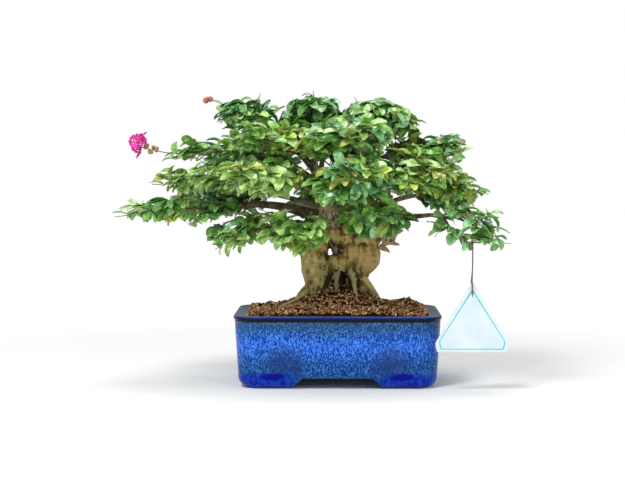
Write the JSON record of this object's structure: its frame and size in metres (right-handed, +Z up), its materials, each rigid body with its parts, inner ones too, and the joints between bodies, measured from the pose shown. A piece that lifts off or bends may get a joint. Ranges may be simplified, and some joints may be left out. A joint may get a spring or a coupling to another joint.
{
  "type": "potted bonsai crape myrtle",
  "caption": "Small trained tree with a gnarled, rooted trunk and a wide leafy crown, in a footed rectangular glazed pot, with a blank hanging tag.",
  "frame": {"origin": "middle of the bounding box, on the surface that the pot's feet stand on", "axes": "+Z up; +X along the pot's length, towards the side with the hanging tag; +Y towards the back"},
  "size_m": [0.4752, 0.292, 0.356],
  "materials": {
    "pot": "mottled blue gloss glaze",
    "soil": "loose matt granules",
    "trunk": "smooth pale bark, mossy low down",
    "boughs": "thin grey-brown bark",
    "foliage": "glossy leaves",
    "tag": "smooth white card",
    "tag_tie": "covered wire"
  },
  "bodies": {
    "plant": {"pot": "pot", "soil": "soil", "trunk": "trunk", "tag_tie": "tag_tie", "bough_left_low": "boughs", "bough_left_mid": "boughs", "bough_flower_shoot": "boughs", "bough_upper_left": "boughs", "bough_top": "boughs", "bough_top_right": "boughs", "bough_right_shoulder": "boughs", "bough_right_end": "boughs", "bough_right_droop": "boughs", "bough_front_left": "boughs", "bough_front_middle": "boughs", "bough_front_low_right": "boughs", "bough_front_low_left": "boughs", "bough_left_hang": "boughs", "bough_front_top": "boughs", "bough_front_upper_left": "boughs", "bough_front_right": "boughs", "bough_back_left": "boughs", "bough_back_right": "boughs", "bough_back_top": "boughs", "bough_back_low": "boughs", "bough_left_back_low": "boughs", "foliage_left_low": "foliage", "foliage_left_mid": "foliage", "foliage_flower_shoot": "foliage", "foliage_upper_left": "foliage", "foliage_top": "foliage", "foliage_top_right": "foliage", "foliage_right_shoulder": "foliage", "foliage_right_end": "foliage", "foliage_right_droop": "foliage", "foliage_front_left": "foliage", "foliage_front_middle": "foliage", "foliage_front_low_right": "foliage", "foliage_front_low_left": "foliage", "foliage_left_hang": "foliage", "foliage_front_top": "foliage", "foliage_front_upper_left": "foliage", "foliage_front_right": "foliage", "foliage_back_left": "foliage", "foliage_back_right": "foliage", "foliage_back_top": "foliage", "foliage_back_low": "foliage", "foliage_left_back_low": "foliage"},
    "tag": {"tag": "tag"}
  },
  "joints": [
    {"name": "tag_swing", "type": "hinge", "parent": "plant", "child": "tag", "pos_m": [0.19299, -0.10797, 0.1125], "axis": [0, 1, 0], "range_deg": [-45, 45]}
  ]
}
